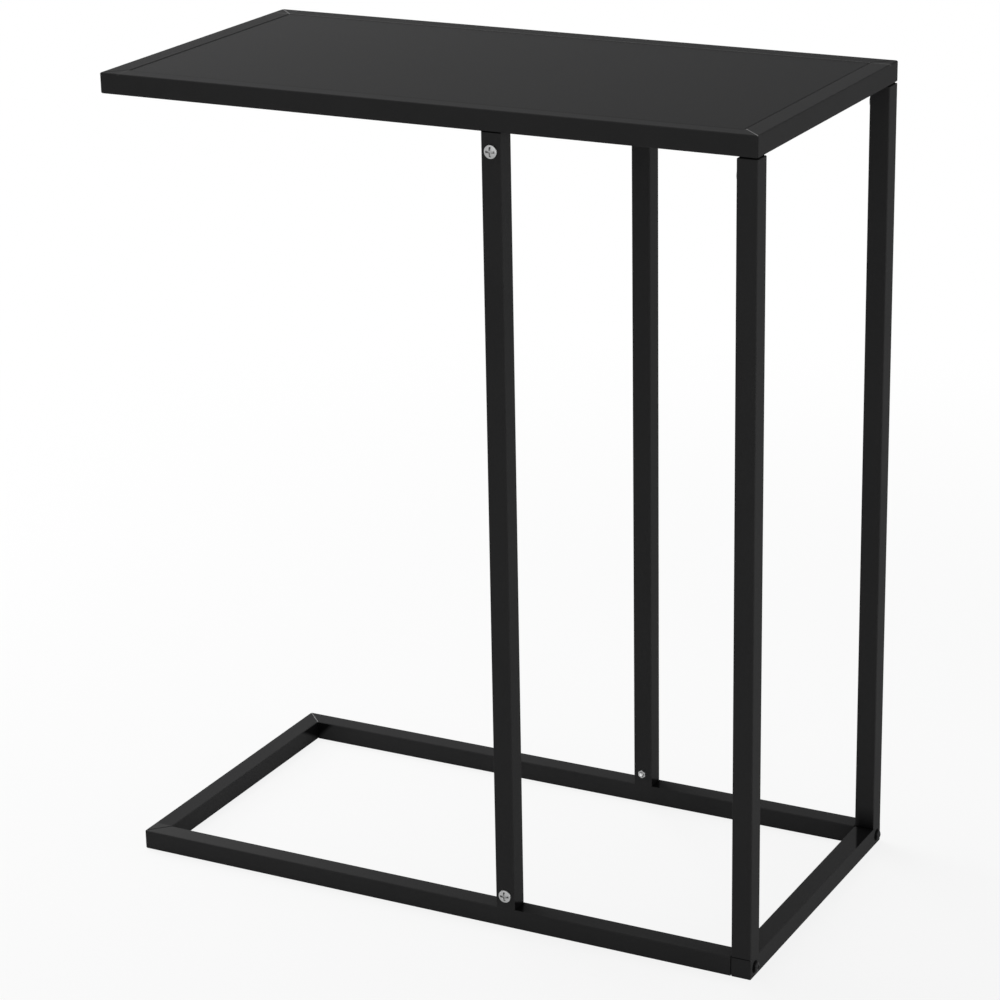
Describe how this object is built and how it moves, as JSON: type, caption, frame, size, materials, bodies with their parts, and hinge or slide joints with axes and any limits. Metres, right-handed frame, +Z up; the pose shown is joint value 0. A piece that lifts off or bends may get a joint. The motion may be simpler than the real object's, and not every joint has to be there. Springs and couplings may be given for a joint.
{
  "type": "side table",
  "caption": "C-shaped side table of black square tube: a framed panel top on corner legs and set-back uprights, over an open base that slides under a sofa or bed.",
  "frame": {"origin": "on the floor, under the middle of the table top", "axes": "+Z up; X along the length, with the corner legs at +X and the open side of the C towards -X; Y along the depth, with the front at -Y"},
  "size_m": [0.5026, 0.2536, 0.6],
  "materials": {
    "frame_powder_coat": "matte black powder coat on steel tube",
    "panel_laminate": "satin black laminate on fibreboard",
    "zinc_steel": "bright zinc-plated steel",
    "black_oxide_steel": "black oxide steel",
    "cap_plastic": "matte black plastic"
  },
  "bodies": {
    "root": {"top_front_rail": "frame_powder_coat", "top_rear_rail": "frame_powder_coat", "top_left_rail": "frame_powder_coat", "top_right_rail": "frame_powder_coat", "panel_tabs": "frame_powder_coat", "front_leg": "frame_powder_coat", "rear_leg": "frame_powder_coat", "front_upright": "frame_powder_coat", "rear_upright": "frame_powder_coat", "front_leg_plug": "frame_powder_coat", "rear_leg_plug": "frame_powder_coat", "front_upper_stub": "frame_powder_coat", "rear_upper_stub": "frame_powder_coat", "front_lower_stub": "frame_powder_coat", "rear_lower_stub": "frame_powder_coat", "base_front_rail": "frame_powder_coat", "base_rear_rail": "frame_powder_coat", "base_left_rail": "frame_powder_coat", "base_crossbar": "frame_powder_coat", "front_rail_plug": "frame_powder_coat", "rear_rail_plug": "frame_powder_coat", "top_panel": "panel_laminate", "upright_bolts": "zinc_steel", "upright_nuts": "zinc_steel", "leg_screws": "zinc_steel", "panel_screws": "zinc_steel", "base_bolts": "black_oxide_steel", "front_end_cap": "cap_plastic", "rear_end_cap": "cap_plastic"}
  },
  "joints": []
}
